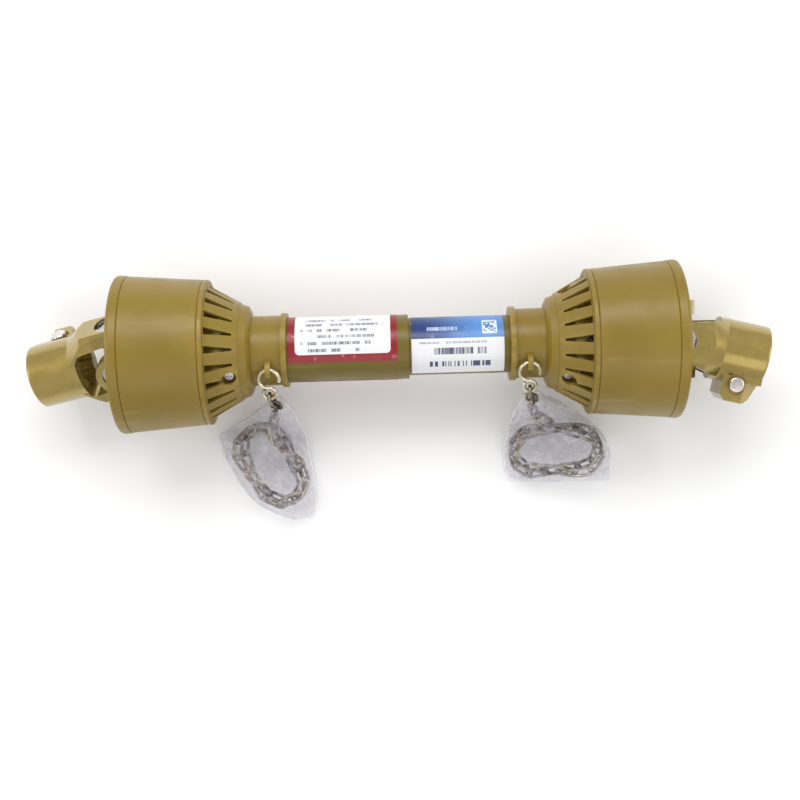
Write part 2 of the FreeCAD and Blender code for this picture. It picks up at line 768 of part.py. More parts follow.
def bearing_ring(end):
    """Split nylon ring that carries the guard in the yoke's groove."""
    name = end.label("guard_bearing")
    start = f"joint_reach - groove_stop + {RUNNING_GAP}"
    stop = f"joint_reach - groove_start - {RUNNING_GAP}"
    outside = rod(name + "_outside", "X", "sleeve_radius - 0.1", start, stop)
    inside = rod(name + "_inside", "X", f"groove_radius + {RUNNING_GAP}", "0", "rim_reach")
    split = block(name + "_split", ("0", "rim_reach"), ("- 1.5", "1.5"), (f"- {FAR}", "0"))
    drill = rod(name + "_drill", "Z", "1.7", "0", BEYOND, SCREW_SPOT)
    angles = enumerate(screw_angles(end))
    pilots = [turned(f"{name}_pilot_{n}", drill, "X", angle) for n, angle in angles]
    return node(cut(name, outside, inside, split, *pilots), name, end.guard)


def screw_angles(end):
    first = end.side * size(f"{end.name}_screw_angle")
    return [first + 120 * n for n in range(3)]


def bearing_screws(end):
    """Three pan-head screws that fix the guard to its bearing ring."""
    name = end.label("guard_screws")
    seat = "sleeve_radius + sleeve_wall + 0.05"
    screws = []
    for n, angle in enumerate(screw_angles(end)):
        shank = rod(f"{name}_shank_{n}", "Z", "1.65", "sleeve_radius - 7", seat, SCREW_SPOT)
        head = rod(f"{name}_head_{n}", "Z", "4.2", seat, f"{seat} + 2.6", SCREW_SPOT)
        deep = (f"{seat} + 1.4", BEYOND)
        bar = block(f"{name}_bar_{n}", ("screw_along - 2.4", "screw_along + 2.4"), ("- 0.5", "0.5"), deep)
        rib = block(f"{name}_rib_{n}", ("screw_along - 0.5", "screw_along + 0.5"), ("- 2.4", "2.4"), deep)
        blank = joined(f"{name}_blank_{n}", shank, head)
        top = number(f"{seat} + 2.6")
        dome = rounded(f"{name}_dome_{n}", blank, "1.2", lambda e: abs(e.CenterOfMass.z - top) < 1e-6)
        screws.append(turned(f"{name}_{n}", cut(f"{name}_driven_{n}", dome, bar, rib), "X", angle))
    made = DOC.addObject("Part::Compound", name)
    made.Links = screws
    return node(made, name, end.guard)


def guard_tube(name, end, radius, tip):
    """Round plastic tube over the drive tubes."""
    stop = "guard_tube_seat - 0.1"
    start = f"{end.side} * {tip}"
    outside = rod(name + "_outside", "X", radius, start, stop)
    inside = rod(name + "_inside", "X", f"{radius} - guard_tube_wall", f"{start} - 1", "guard_tube_seat")
    return node(cut(name, outside, inside), name, end.guard)


def wrapped_label(name, end, radius, along, angles):
    """Thin sticker on a guard tube, between two angles about the shaft from +Z towards -Y."""
    inner = number(f"{radius} + label_gap")
    outer = inner + size("label_thickness")
    base = Vector(along[0], 0, 0)
    long = along[1] - along[0]
    sector = Part.makeCylinder(outer, long, base, ALONG["X"], angles[1] - angles[0])
    shell = sector.cut(Part.makeCylinder(inner, long, base, ALONG["X"])).Solids[0]
    middle = degrees(atan2(-shell.CenterOfMass.y, shell.CenterOfMass.z))
    shell.rotate(Vector(), ALONG["X"], (angles[0] + angles[1]) / 2 - middle)
    return node(feature(name, shell), name, Placement(on_axis(0), Rotation()))


# ---------------------------------------------------------------- chains


def hanging_frame(end):
    """Frame of a chain hook: origin in the eye's hole, +Y down the hook, Z out of its plane."""
    angle = radians(size("eye_angle"))
    out = Vector(0, -sin(angle), cos(angle))
    down = Vector(0, -cos(angle), -sin(angle))
    spot = on_axis(end.side * size("eye_along")) + out * size("eye_reach")
    return Placement(spot, Rotation(down.cross(out), down, out, "YZX"))


def tube_along(path, radius):
    """Round wire along a wire path."""
    start = path.Edges[0].Vertexes[0].Point
    first = path.Edges[0]
    section = Part.Wire(Part.makeCircle(radius, start, first.tangentAt(first.FirstParameter)))
    return path.makePipeShell([section], True, True)


def arc(centre, radius, first, last):
    """Edge of a circle in the XY plane, from one angle to another in degrees."""
    places = [first, (first + last) / 2, last]
    spots = [centre + Vector(cos(radians(a)), sin(radians(a)), 0) * radius for a in places]
    return Part.Arc(*spots).toShape()


def chain_hook(end):
    """S-hook: a wide open ring through the eye and a small closed loop for the chain."""
    name = end.label("chain_hook")
    ring = size("hook_ring_radius")
    loop = size("hook_loop_radius")
    ring_centre = Vector(0, ring, 0)
    joint = ring_centre + Vector(0, ring, 0)
    loop_centre = joint + Vector(0, loop, 0)
    wires = [arc(ring_centre, ring, -200, 90), arc(loop_centre, loop, -90, -400)]
    path = Part.Wire([wires[0], wires[1]])
    return node(feature(name, tube_along(path, size("hook_wire_radius"))), name, hanging_frame(end))


def link():
    """One oval chain link along X, welded shut."""
    half = size("link_straight") / 2
    wide = size("link_half_width")
    wire = size("link_wire_radius")
    ends = [
        Part.makeTorus(wide, wire, Vector(side * half, 0, 0), ALONG["Z"], 0, 360, 180)
        for side in (1, -1)
    ]
    ends[0].rotate(Vector(half, 0, 0), ALONG["Z"], -90)
    ends[1].rotate(Vector(-half, 0, 0), ALONG["Z"], 90)
    starts = [Vector(-half, side * wide, 0) for side in (1, -1)]
    bars = [Part.makeCylinder(wire, 2 * half, start, ALONG["X"]) for start in starts]
    return ends[0].multiFuse([ends[1], *bars]).removeSplitter()


def chain(end, route):
    """Links strung along a smooth route, each a quarter turn from the last."""
    name = end.label("safety_chain")
    curve = Part.BSplineCurve()
    curve.interpolate([on_axis(0) + Vector(*place) for place in route])
    places = curve.discretize(Number=4000)
    pivots = [places[0]]
    for place in places:
        if (place - pivots[-1]).Length >= size("link_pitch"):
            pivots.append(place)
    model = link()
    links = []
    for n in range(len(pivots) - 1):
        ahead = (pivots[n + 1] - pivots[n]).normalize()
        settled = min(1.0, n / 8)
        side = ALONG["X"].cross(ahead) * (1 - settled) + ALONG["Z"].cross(ahead) * settled
        turn = Rotation(ahead, 90 * n + size("link_lean") * settled)
        one = model.copy()
        middle = (pivots[n] + pivots[n + 1]) / 2
        one.Placement = frame(middle, ahead, turn.multVec(ahead.cross(side.normalize())))
        links.append(one)
    print(f"{name}: {len(links)} links")
    return node(feature(name, Part.makeCompound(links)), name, Placement())


# ---------------------------------------------------------------- bags


def bag_section(place, ahead, half_width, half_height):
    """Rounded rectangle across the bag, level from side to side."""
    level = ALONG["X"]
    up = level.cross(ahead).normalize()
    corner = min(10.0, half_height - 0.8)
    edges = []
    last = None
    for x, z in ((1, 1), (1, -1), (-1, -1), (-1, 1)):
        middle = place + level * x * (half_width - corner) + up * z * (half_height - corner)
        ends = [middle + up * z * corner, middle + level * x * corner]
        if x != z:
            ends.reverse()
        bulge = middle + (level * x + up * z) * corner * cos(pi / 4)
        if last:
            edges.append(Part.makeLine(last, ends[0]))
        edges.append(Part.Arc(ends[0], bulge, ends[1]).toShape())
        last = ends[1]
    first = edges[0].Vertexes[0].Point
    edges.append(Part.makeLine(last, first))
    return Part.Wire(edges)


def bag(end, sections):
    """Thin bag round the chain, open at its neck and closed at the far end."""
    name = end.label("chain_bag")
    film = size("film")
    middles = [on_axis(0) + Vector(*place) for place, wide, high in sections]
    outer = []
    inner = []
    for n, (place, wide, high) in enumerate(sections):
        ahead = (middles[min(n + 1, len(middles) - 1)] - middles[max(n - 1, 0)]).normalize()
        shift = {0: -1.0, len(sections) - 1: -film}.get(n, 0.0)
        outer.append(bag_section(middles[n], ahead, wide, high))
        inner.append(bag_section(middles[n] + ahead * shift, ahead, wide - film, high - film))
    shell = Part.makeLoft(outer, True, True).cut(Part.makeLoft(inner, True, True))
    return node(feature(name, shell), name, Placement())


def coil(centre, lean, drift, straight, radius, top, turns, step):
    """Points of a racetrack coil that winds down on to the ground and turns by drift in each lap."""
    lap = 4 * straight + 2 * pi * radius
    points = []
    for n in range(int(turns * lap / step) + 1):
        gone = n * step
        round_lap = gone % lap
        heading = radians(lean + drift * gone / lap)
        lengthwise = Vector(cos(heading), sin(heading), 0)
        across = Vector(-lengthwise.y, lengthwise.x, 0)
        if round_lap < straight:
            flat = lengthwise * round_lap + across * radius
        elif round_lap < straight + pi * radius:
            angle = (round_lap - straight) / radius
            flat = lengthwise * (straight + radius * sin(angle)) + across * radius * cos(angle)
        elif round_lap < 3 * straight + pi * radius:
            flat = lengthwise * (2 * straight + pi * radius - round_lap) - across * radius
        elif round_lap < 3 * straight + 2 * pi * radius:
            angle = (round_lap - 3 * straight - pi * radius) / radius
            flat = lengthwise * (-straight - radius * sin(angle)) - across * radius * cos(angle)
        else:
            flat = lengthwise * (round_lap - lap) + across * radius
        points.append((centre[0] + flat.x, centre[1] + flat.y, top - size("coil_layer") * gone / lap))
    return points


# ---------------------------------------------------------------- assembly

TRACTOR = End("tractor", -1)
IMPLEMENT = End("implement", 1)

for each in (TRACTOR, IMPLEMENT):
    end_yoke(each)
    push_pin(each)
    pin_spring(each)
    cross(each)
    grease_nipple(each)
    needles(each)
    bearings(each)
    roll_pin(each)
    bell(each)
    bearing_ring(each)
    bearing_screws(each)
    chain_hook(each)

tube_yoke(TRACTOR, "lobe_radius")
tube_yoke(IMPLEMENT, "( lobe_radius - tube_wall - lobe_clearance )")
drive_tube("outer_drive_tube", TRACTOR, "lobe_radius", "outer_tube_tip")
drive_tube("inner_drive_tube", IMPLEMENT, "( lobe_radius - tube_wall - lobe_clearance )", "inner_tube_tip")
base_cone(TRACTOR, "wide_guard_tube_radius", size("tractor_screw_angle"))
base_cone(IMPLEMENT, "slim_guard_tube_radius", size("implement_screw_angle"))
guard_tube("wide_guard_tube", TRACTOR, "wide_guard_tube_radius", "wide_guard_tube_tip")
guard_tube("slim_guard_tube", IMPLEMENT, "slim_guard_tube_radius", "slim_guard_tube_tip")
wrapped_label("border_label", TRACTOR, "wide_guard_tube_radius", (-86.0, -1.0), (-274.0, 26.0))
wrapped_label("band_label", IMPLEMENT, "slim_guard_tube_radius", (10.0, 82.0), (-100.0, 70.0))

TRACTOR_NECK = [
    (-101.4, -37.4, 16.3),
    (-99.5, -40.2, 7),
    (-98, -43, -3),
    (-99.5, -48, -17),
    (-103.5, -58, -28),
]
IMPLEMENT_NECK = [
    (101.4, -37.4, 16.3),
    (103, -40.2, 7),
    (104.5, -43, -3),
    (106, -48, -17),
    (109, -57, -30),
]
chain(TRACTOR, TRACTOR_NECK + coil((-108, -93), -38, -20, 17, 17, -33.5, 2.15, 9))
chain(IMPLEMENT, IMPLEMENT_NECK + coil((127, -86), -16, 16, 19, 17, -33.5, 2.1, 9))
bag(
    TRACTOR,
    [
        ((-98, -43, -3), 8, 7.2),
        ((-99.5, -47, -16), 14, 9),
        ((-106, -52, -30), 24, 12.5),
        ((-113, -60, -42), 32, 17),
        ((-113, -73, -43.5), 36, 18.5),
        ((-110, -86, -43.5), 37, 18.5),
        ((-106, -98, -43.5), 35, 18.5),
        ((-100, -111, -44), 30, 18),
        ((-95, -124, -46), 23, 16),
        ((-91, -135, -51), 14, 11),
    ],
)
bag(
    IMPLEMENT,
    [
        ((104.5, -43, -3), 8, 7.2),
        ((107, -47, -16), 14, 9),
        ((115, -52, -30), 25, 12.5),
        ((124, -60, -42), 36, 17),
        ((127, -73, -43.5), 43, 18.5),
        ((127, -86, -43.5), 43.5, 18.5),
        ((127, -99, -43.5), 43, 18.5),
        ((127, -111, -45), 39, 17),
        ((127, -119, -50), 30, 11.5),
    ],
)

DOC.recompute()
broken = [o.Name for o in DOC.Objects if "Invalid" in o.State or "Error" in o.State]
if broken:
    raise SystemExit(f"these objects failed: {broken}")
os.makedirs("parts", exist_ok=True)
for made in NODES:
    if made.Shape.isNull() or not made.Shape.isValid() or not made.Shape.Solids:
        raise SystemExit(f"{made.Label} has no valid solid")
for made in NODES:
    made.Shape.exportStep(os.path.join("parts", made.Label + ".step"))
    print(f"{made.Label}: {len(made.Shape.Solids)} solids, {made.Shape.Volume:.0f} mm3")
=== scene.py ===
# %% [markdown]
# A farm drive shaft carries power from a tractor to an implement. Two universal joints and a
# telescoping tube turn inside a plastic guard, and two small chains in clear bags hang from it.
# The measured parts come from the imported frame, so this lesson is about finishes: what each
# surface is made of, and how a few nodes say so. Only the film bags are modelled here.

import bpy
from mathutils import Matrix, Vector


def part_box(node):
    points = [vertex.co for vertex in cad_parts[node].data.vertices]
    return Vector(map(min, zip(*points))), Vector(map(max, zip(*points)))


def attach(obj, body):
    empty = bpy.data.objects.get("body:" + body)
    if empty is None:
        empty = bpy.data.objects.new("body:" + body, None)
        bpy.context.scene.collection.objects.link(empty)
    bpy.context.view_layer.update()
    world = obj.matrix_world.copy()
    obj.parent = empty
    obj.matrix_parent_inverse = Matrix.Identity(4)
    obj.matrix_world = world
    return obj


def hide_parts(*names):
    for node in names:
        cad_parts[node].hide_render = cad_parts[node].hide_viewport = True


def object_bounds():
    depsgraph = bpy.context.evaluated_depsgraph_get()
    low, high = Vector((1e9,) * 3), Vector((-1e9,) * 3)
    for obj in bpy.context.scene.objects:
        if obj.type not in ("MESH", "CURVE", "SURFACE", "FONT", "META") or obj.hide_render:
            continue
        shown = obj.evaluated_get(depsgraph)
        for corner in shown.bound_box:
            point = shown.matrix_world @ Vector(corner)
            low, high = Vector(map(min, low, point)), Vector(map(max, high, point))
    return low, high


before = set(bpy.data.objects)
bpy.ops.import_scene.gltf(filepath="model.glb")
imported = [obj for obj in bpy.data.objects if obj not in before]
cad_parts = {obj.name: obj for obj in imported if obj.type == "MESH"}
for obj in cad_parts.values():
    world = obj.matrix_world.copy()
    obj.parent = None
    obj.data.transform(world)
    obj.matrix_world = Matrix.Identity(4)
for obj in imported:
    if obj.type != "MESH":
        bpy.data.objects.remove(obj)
cad_low, cad_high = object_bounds()
print("measured parts:", len(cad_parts), "box:", tuple(cad_low), tuple(cad_high))

# %% [markdown]
# Everything is placed from the shaft's axis. The guard tube is round, so the middle of its box
# is a point on that axis.

# %% Find the shaft's axis
import math

import bmesh
import bpy
import numpy as np
from mathutils import Vector, kdtree

MM = 0.001
tube_low, tube_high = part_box("wide_guard_tube")
AXIS_Y = (tube_low.y + tube_high.y) / 2
AXIS_Z = (tube_low.z + tube_high.z) / 2
AXIS_X = (cad_low[0] + cad_high[0]) / 2
print("axis at y", round(AXIS_Y, 4), "z", round(AXIS_Z, 4))

# %% [markdown]
# The shaft lies on a pale studio table and is seen from straight above, a little over a metre up,
# turned under two degrees. A long lens keeps both ends nearly parallel. The camera comes first,
# because every later choice is judged through it.

# %% Camera
CAMERA_ABOVE_AXIS = 1050 * MM
CAMERA_IN_FRONT = 42 * MM
SHAFT_SLOPE = math.radians(1.68)

lens = bpy.data.cameras.new("table_camera")
lens.sensor_width = 36
lens.lens = 59.8
camera = bpy.data.objects.new("table_camera", lens)
bpy.context.scene.collection.objects.link(camera)
camera.location = (AXIS_X, AXIS_Y - CAMERA_IN_FRONT, AXIS_Z + CAMERA_ABOVE_AXIS)
camera.rotation_euler = (0, 0, -SHAFT_SLOPE)
bpy.context.scene.camera = camera
print("camera at", tuple(camera.location))

# %% [markdown]
# A node tree is easier to read when each node takes one line. The helper adds a node, links every
# socket that it is given, and sets every plain value. A second helper does sums.

# %% Node helpers
def put(finish, kind, settings=None, **wanted):
    """Adds one node. A socket given as a value is linked, and anything else is set."""
    tree = finish.node_tree
    node = tree.nodes.new(kind)
    for name, value in (settings or {}).items():
        setattr(node, name, value)
    for name, value in wanted.items():
        socket = node.inputs[name.replace("_", " ")]
        if isinstance(value, bpy.types.NodeSocket):
            tree.links.new(value, socket)
        else:
            socket.default_value = value
    return node


def calc(finish, operation, *values):
    """Result of one sum on sockets or numbers."""
    node = put(finish, "ShaderNodeMath", {"operation": operation})
    for socket, value in zip(node.inputs, values):
        if isinstance(value, bpy.types.NodeSocket):
            finish.node_tree.links.new(value, socket)
        else:
            socket.default_value = value
    return node.outputs[0]


def between(finish, value, low, high):
    """1 where a value lies between two others, and 0 outside."""
    above = calc(finish, "GREATER_THAN", value, low)
    return calc(finish, "MULTIPLY", above, calc(finish, "LESS_THAN", value, high))


def mixed(finish, share, first, second):
    """Two colours mixed by a share."""
    node = put(finish, "ShaderNodeMix", {"data_type": "RGBA"})
    for n, value in ((0, share), (6, first), (7, second)):
        if isinstance(value, bpy.types.NodeSocket):
            finish.node_tree.links.new(value, node.inputs[n])
        elif n:
            node.inputs[n].default_value = (*value, 1)
        else:
            node.inputs[n].default_value = value
    return node.outputs[2]


def eased(finish, value, low, high, start=0.0, stop=1.0):
    """A value read off a soft ramp between two limits."""
    ramp = put(finish, "ShaderNodeMapRange", {"interpolation_type": "SMOOTHSTEP"}, Value=value)
    limits = {"From Min": low, "From Max": high, "To Min": start, "To Max": stop}
    for socket, limit in limits.items():
        ramp.inputs[socket].default_value = limit
    return ramp.outputs[0]


def place_on(finish):
    """Coordinates that stay with a part when it moves, in metres."""
    return put(finish, "ShaderNodeTexCoord").outputs["Object"]


def cloudy(finish, per_metre, detail=3.0, stretch=(1, 1, 1), warp=0.0):
    """Soft noise, with the number of its patches per metre."""
    spot = put(finish, "ShaderNodeMapping", Vector=place_on(finish), Scale=stretch).outputs[0]
    settings = {"Scale": per_metre, "Detail": detail, "Distortion": warp}
    return put(finish, "ShaderNodeTexNoise", Vector=spot, **settings).outputs[0]


def new_finish(name, **constants):
    """A material with one shader, whose plain values are set on the shader itself."""
    finish = bpy.data.materials.new(name)
    finish.use_nodes = True
    shader = finish.node_tree.nodes["Principled BSDF"]
    for key, value in constants.items():
        shader.inputs[key.replace("_", " ")].default_value = value
    return finish, shader


def drive(finish, shader, **sockets):
    """Links sockets into the shader."""
    for name, socket in sockets.items():
        finish.node_tree.links.new(socket, shader.inputs[name.replace("_", " ")])


def bumped(finish, height, depth, strength=1.0):
    """Surface relief of a depth in metres."""
    bump = put(finish, "ShaderNodeBump", Height=height, Distance=depth, Strength=strength)
    return bump.outputs[0]


def edges(finish, low=0.52, high=0.62):
    """1 on a part's outward corners, where hands and crates rub."""
    return eased(finish, put(finish, "ShaderNodeNewGeometry").outputs["Pointiness"], low, high)


# %% [markdown]
# The guard is injection-moulded in mustard plastic. Such plastic is never one flat colour: the
# pigment drifts a little, the mould leaves a fine grain, and storage leaves pale scuffs along it.
# Large noise shifts the colour, small noise makes the grain, and stretched noise makes the scuffs.

# %% Guard plastic
def moulded_plastic(name, pale, deep, roughness, rubbed_share=0.6):
    finish, shader = new_finish(name, Specular_IOR_Level=0.42)
    drift = eased(finish, cloudy(finish, 16, 4), 0.32, 0.68)
    colour = mixed(finish, drift, deep, pale)
    scuffs = eased(finish, cloudy(finish, 60, 6, (0.12, 1, 1), 0.6), 0.64, 0.76, 0, 0.3)
    colour = mixed(finish, scuffs, colour, [min(1.0, 1.5 * c + 0.03) for c in pale])
    chance = eased(finish, cloudy(finish, 120), 0.35, 0.6, 0.1 * rubbed_share, rubbed_share)
    rubbed = calc(finish, "MULTIPLY", edges(finish), chance)
    colour = mixed(finish, rubbed, colour, [min(1.0, 1.35 * c + 0.02) for c in pale])
    grain = cloudy(finish, 1500, 2)
    ripple = cloudy(finish, 220, 2)
    relief = calc(finish, "ADD", calc(finish, "MULTIPLY", grain, 0.35), ripple)
    dull = eased(finish, cloudy(finish, 45, 5), 0.3, 0.7, roughness - 0.06, roughness + 0.08)
    uneven = bumped(finish, relief, 0.00012, 0.5)
    drive(finish, shader, Base_Color=colour, Roughness=dull, Normal=uneven)
    return finish


MUSTARD = (0.262, 0.176, 0.022)
DEEP_MUSTARD = (0.226, 0.150, 0.017)
OLIVE = (0.178, 0.128, 0.016)
DEEP_OLIVE = (0.152, 0.108, 0.012)
GUARD_PLASTIC = moulded_plastic("mustard_guard_plastic", MUSTARD, DEEP_MUSTARD, 0.36)
TUBE_PLASTIC = moulded_plastic("olive_tube_plastic", OLIVE, DEEP_OLIVE, 0.34, 0.0)
NYLON = moulded_plastic("bearing_ring_nylon", (0.72, 0.69, 0.60), (0.64, 0.61, 0.51), 0.38)
print("plastics made:", GUARD_PLASTIC.name, TUBE_PLASTIC.name, NYLON.name)

# %% [markdown]
# The yokes are steel forgings with a glossy golden coat. A forging keeps the skin of its die, so
# broad low lumps lie under the gloss, with small pits, and the coat is thinner and paler on edges.

# %% Golden coat on the forged yokes
def golden_forging():
    constants = {"Metallic": 0.6, "Coat_Weight": 0.8, "Coat_Roughness": 0.08}
    finish, shader = new_finish("golden_forging_coat", **constants)
    patches = eased(finish, cloudy(finish, 30, 4, warp=0.5), 0.3, 0.7)
    colour = mixed(finish, patches, (0.35, 0.250, 0.050), (0.40, 0.292, 0.064))
    patchy = eased(finish, cloudy(finish, 160), 0.3, 0.65, 0, 0.6)
    thin = calc(finish, "MULTIPLY", edges(finish, 0.55, 0.72), patchy)
    colour = mixed(finish, thin, colour, (0.66, 0.56, 0.26))
    pits = eased(finish, cloudy(finish, 900, 2), 0.26, 0.36, 0.5, 1.0)
    colour = mixed(finish, pits, (0.13, 0.09, 0.02), colour)
    skin = calc(finish, "ADD", cloudy(finish, 70, 2), calc(finish, "MULTIPLY", pits, 0.2))
    dull = eased(finish, cloudy(finish, 90, 4), 0.3, 0.7, 0.18, 0.3)
    lumpy = bumped(finish, skin, 0.00025, 0.4)
    drive(finish, shader, Base_Color=colour, Roughness=dull, Normal=lumpy)
    return finish


YOKE_COAT = golden_forging()
print("yoke finish made:", YOKE_COAT.name)

# %% [markdown]
# The small steel parts differ in how they were finished. Zinc plate is pale with cloudy spangle,
# drawn tube has lines along it and a film of oil, ground steel has fine rings, and spring steel is
# blued. One function makes them all, since each is metal with streaks that run some way.

# %% Steels
def steel(name, pale, deep, roughness, stretch, per_metre, depth=0.00003):
    finish, shader = new_finish(name, Metallic=1.0)
    lines = cloudy(finish, per_metre, 4, stretch)
    clouds = cloudy(finish, 60, 5, warp=0.5)
    colour = mixed(finish, eased(finish, clouds, 0.3, 0.7), deep, pale)
    scored = eased(finish, lines, 0.55, 0.75, 0, 0.35)
    colour = mixed(finish, scored, colour, [0.6 * c for c in deep])
    worn = calc(finish, "ADD", lines, clouds)
    dull = eased(finish, worn, 0.7, 1.3, roughness - 0.07, roughness + 0.12)
    grooves = bumped(finish, lines, depth, 0.6)
    drive(finish, shader, Base_Color=colour, Roughness=dull, Normal=grooves)
    return finish


ZINC = steel("zinc_plate", (0.72, 0.70, 0.67), (0.52, 0.50, 0.48), 0.28, (1, 1, 1), 420)
# The chain's near-black brown is painted shade that stands for the dark gaps in the heap. The
# cloudy noise in steel mixes it with the pale zinc on links at random.
PALE_LINK = (0.46, 0.40, 0.32)
LINK_GAP_SHADE = (0.10, 0.078, 0.055)
CHAIN_ZINC_AND_PAINTED_SHADE = steel("chain_zinc_with_painted_shade", PALE_LINK, LINK_GAP_SHADE, 0.2, (1, 1, 1), 200)
HOOK_ZINC = steel("yellow_zinc_hook", (0.82, 0.76, 0.58), (0.58, 0.50, 0.30), 0.22, (1, 1, 1), 300)
OILED = (0.36, 0.35, 0.33)
DARK_OIL = (0.22, 0.21, 0.20)
TUBE_STEEL = steel("oiled_drawn_steel", OILED, DARK_OIL, 0.34, (0.04, 1, 1), 900)
GROUND_STEEL = steel("ground_steel", (0.66, 0.65, 0.64), (0.50, 0.49, 0.48), 0.22, (1, 1, 6), 500)
PIN_STEEL = steel("polished_pin_steel", (0.88, 0.82, 0.80), (0.74, 0.69, 0.67), 0.2, (1, 1, 1), 500)
BLUED = (0.22, 0.23, 0.27)
DARK_BLUED = (0.13, 0.13, 0.16)
SPRING_STEEL = steel("blued_spring_steel", BLUED, DARK_BLUED, 0.3, (1, 1, 1), 600)
print("steels made")

# %% [markdown]
# The seals on the cross are black rubber. Rubber is dull, slightly dusty in its hollows, and has a
# soft skin of tiny lumps.

# %% Seal rubber
def seal_rubber():
    finish, shader = new_finish("seal_rubber", Specular_IOR_Level=0.3)
    dust = eased(finish, cloudy(finish, 300, 5), 0.45, 0.75, 0, 0.5)
    colour = mixed(finish, dust, (0.022, 0.021, 0.020), (0.085, 0.080, 0.072))
    dull = eased(finish, cloudy(finish, 500), 0.3, 0.7, 0.55, 0.8)
    skin = bumped(finish, cloudy(finish, 1800), 0.00005)
    drive(finish, shader, Base_Color=colour, Roughness=dull, Normal=skin)
    return finish


RUBBER = seal_rubber()

# %% [markdown]
# Two printed stickers wrap the guard tubes. Their print is drawn with sums, on two measures: the
# distance along the shaft and the distance round the tube, both in millimetres. The print is made
# of plain bars and blocks that stand for words, so that nothing on it can be read.

# %% Measures for print on a tube
def tube_measures(finish, tube):
    """Millimetres along the shaft, and round the tube from its top towards the front."""
    low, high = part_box(tube)
    radius = (high.z - low.z) / 2 / MM
    split = put(finish, "ShaderNodeSeparateXYZ", Vector=place_on(finish))
    forward = calc(finish, "SUBTRACT", AXIS_Y, split.outputs["Y"])
    upward = calc(finish, "SUBTRACT", split.outputs["Z"], AXIS_Z)
    angle = calc(finish, "ARCTAN2", forward, upward)
    along = calc(finish, "MULTIPLY", split.outputs["X"], 1 / MM)
    return along, calc(finish, "MULTIPLY", angle, radius)


def panel(finish, along, across, middle, half, corner):
    """1 inside a rectangle with rounded corners."""
    gaps = []
    for value, centre, reach in zip((along, across), middle, half):
        away = calc(finish, "ABSOLUTE", calc(finish, "SUBTRACT", value, centre))
        gaps.append(calc(finish, "MAXIMUM", calc(finish, "SUBTRACT", away, reach - corner), 0.0))
    square = [calc(finish, "MULTIPLY", gap, gap) for gap in gaps]
    return calc(finish, "LESS_THAN", calc(finish, "ADD", *square), corner * corner)


def chance_at(finish, x, y):
    """One random number for each whole-numbered place."""
    spot = put(finish, "ShaderNodeCombineXYZ", X=x, Y=y).outputs[0]
    dice = put(finish, "ShaderNodeTexWhiteNoise", {"noise_dimensions": "2D"}, Vector=spot)
    return dice.outputs[0]


def word_bars(finish, along, across, left, right, first, rows, pitch, tall, word):
    """1 on rows of short bars with gaps of chance, like lines of words seen from far off."""
    line = calc(finish, "DIVIDE", calc(finish, "SUBTRACT", across, first), pitch)
    row = calc(finish, "FLOOR", line)
    inked = calc(finish, "LESS_THAN", calc(finish, "FRACT", line), tall / pitch)
    block = calc(finish, "FLOOR", calc(finish, "DIVIDE", along, word))
    letter = calc(finish, "FLOOR", calc(finish, "DIVIDE", along, 0.18 * tall + 0.3))
    strength = chance_at(finish, letter, row)
    inside_word = calc(finish, "GREATER_THAN", chance_at(finish, block, row), 0.2)
    word_here = calc(finish, "MULTIPLY", inside_word, eased(finish, strength, 0, 1, 0.3, 1))
    short = chance_at(finish, row, 7.0)
    stop = calc(finish, "SUBTRACT", right, calc(finish, "MULTIPLY", short, 0.3 * (right - left)))
    mask = calc(finish, "MULTIPLY", inked, word_here)
    mask = calc(finish, "MULTIPLY", mask, between(finish, row, -0.5, rows - 0.5))
    return calc(finish, "MULTIPLY", mask, between(finish, along, left, stop))


# %% [markdown]
# The first sticker has a red ground and a white panel with five lines. Printed film is glossy and
# never quite smooth, because it takes up dust and small bubbles below it.

# %% Sticker with a red border
PAPER = (0.82, 0.82, 0.84)
INK = (0.16, 0.17, 0.22)


def printed_film(finish, shader, colour, tube):
    """Ends a sticker: worn print, gloss, and small bubbles under the film."""
    worn = eased(finish, cloudy(finish, 130, 6, warp=0.7), 0.62, 0.74, 0, 0.35)
    faded = mixed(finish, worn, colour, (0.70, 0.66, 0.62))
    dull = eased(finish, cloudy(finish, 80, 4), 0.3, 0.7, 0.2, 0.38)
    bubbles = bumped(finish, cloudy(finish, 180, 2), 0.00012, 0.5)
    drive(finish, shader, Base_Color=faded, Roughness=dull, Normal=bubbles)
    return finish


def border_sticker():
    finish, shader = new_finish("red_border_sticker", Specular_IOR_Level=0.5)
    along, across = tube_measures(finish, "wide_guard_tube")
    ink_drift = eased(finish, cloudy(finish, 40), 0.3, 0.7)
    ground = mixed(finish, ink_drift, (0.24, 0.007, 0.013), (0.29, 0.012, 0.020))
    paper = panel(finish, along, across, (-43.0, -18.0), (37.0, 23.3), 3.4)
    colour = mixed(finish, paper, ground, PAPER)
    heading = word_bars(finish, along, across, -72.0, -9.0, -26.4, 2, 5.5, 2.6, 3.1)
    lines = word_bars(finish, along, across, -70.0, -14.0, -15.4, 4, 5.4, 2.5, 3.7)
    bullets = word_bars(finish, along, across, -75.5, -73.5, -15.4, 4, 10.8, 2.2, 40.0)
    colour = mixed(finish, heading, colour, (0.20, 0.20, 0.34))
    colour = mixed(finish, calc(finish, "MAXIMUM", lines, bullets), colour, INK)
    return printed_film(finish, shader, colour, "wide_guard_tube")


BORDER_STICKER = border_sticker()

# %% [markdown]
# The second sticker has a blue band that grows paler along the shaft, with a small chequered
# square, and a white panel with a row of short bars, a row of heavy blocks and a row of stripes.

